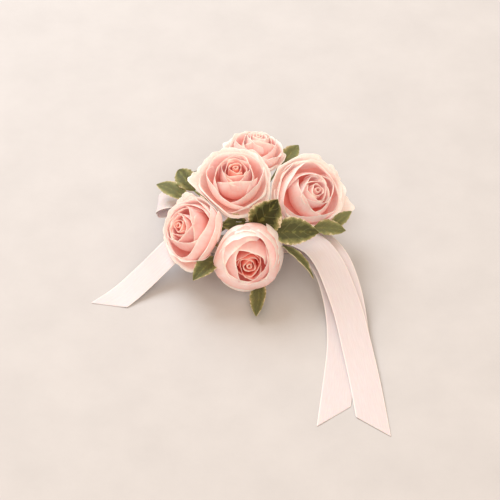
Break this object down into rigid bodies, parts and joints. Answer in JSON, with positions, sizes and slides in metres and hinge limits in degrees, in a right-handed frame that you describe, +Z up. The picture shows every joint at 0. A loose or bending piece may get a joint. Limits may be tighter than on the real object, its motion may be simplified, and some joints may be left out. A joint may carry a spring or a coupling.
{
  "type": "wrist corsage",
  "caption": "Wrist corsage: a domed cluster of blush spray roses and variegated leaves with trailing satin ribbon tails, bound on an elastic wristlet.",
  "frame": {"origin": "middle of the wristlet's underside, on the table", "axes": "+Z up, out of the flowers; -Y towards the front, where the long ribbon tails lie; the wrist goes through the wristlet along Y"},
  "size_m": [0.1505, 0.1911, 0.057],
  "materials": {
    "petal_heart": "soft, velvety",
    "petal_inner": "soft, velvety",
    "petal_outer": "soft, velvety",
    "green_stem": "matte",
    "leaf": "waxy satin",
    "satin_ribbon": "satin sheen",
    "elastic": "matte, ribbed",
    "felt": "matte, fibrous",
    "floral_tape": "matte, crinkled",
    "clip_steel": "satin"
  },
  "bodies": {
    "root": {"felt_pad": "felt", "leaf_back": "leaf", "leaf_back_left": "leaf", "leaf_back_right": "leaf", "leaf_far_right": "leaf", "leaf_front_left": "leaf", "leaf_inner": "leaf", "leaf_left": "leaf", "leaf_left_back": "leaf", "leaf_middle": "leaf", "leaf_middle_right": "leaf", "leaf_right": "leaf", "leaf_right_small": "leaf", "leaf_under_front": "leaf", "leaf_under_right": "leaf", "ribbon_loop_left": "satin_ribbon", "ribbon_tail_left": "satin_ribbon", "ribbon_tail_right": "satin_ribbon", "ribbon_tail_short": "satin_ribbon", "ribbon_tail_under": "satin_ribbon", "rose_back_calyx": "green_stem", "rose_back_heart": "petal_heart", "rose_back_inner_petals": "petal_inner", "rose_back_outer_petals": "petal_outer", "rose_back_stem": "green_stem", "rose_front_calyx": "green_stem", "rose_front_heart": "petal_heart", "rose_front_inner_petals": "petal_inner", "rose_front_outer_petals": "petal_outer", "rose_front_stem": "green_stem", "rose_left_calyx": "green_stem", "rose_left_heart": "petal_heart", "rose_left_inner_petals": "petal_inner", "rose_left_outer_petals": "petal_outer", "rose_left_stem": "green_stem", "rose_right_calyx": "green_stem", "rose_right_heart": "petal_heart", "rose_right_inner_petals": "petal_inner", "rose_right_outer_petals": "petal_outer", "rose_right_stem": "green_stem", "rose_top_calyx": "green_stem", "rose_top_heart": "petal_heart", "rose_top_inner_petals": "petal_inner", "rose_top_outer_petals": "petal_outer", "rose_top_stem": "green_stem", "tape_binding": "floral_tape", "wristlet_band": "elastic", "wristlet_clip": "clip_steel"}
  },
  "joints": []
}
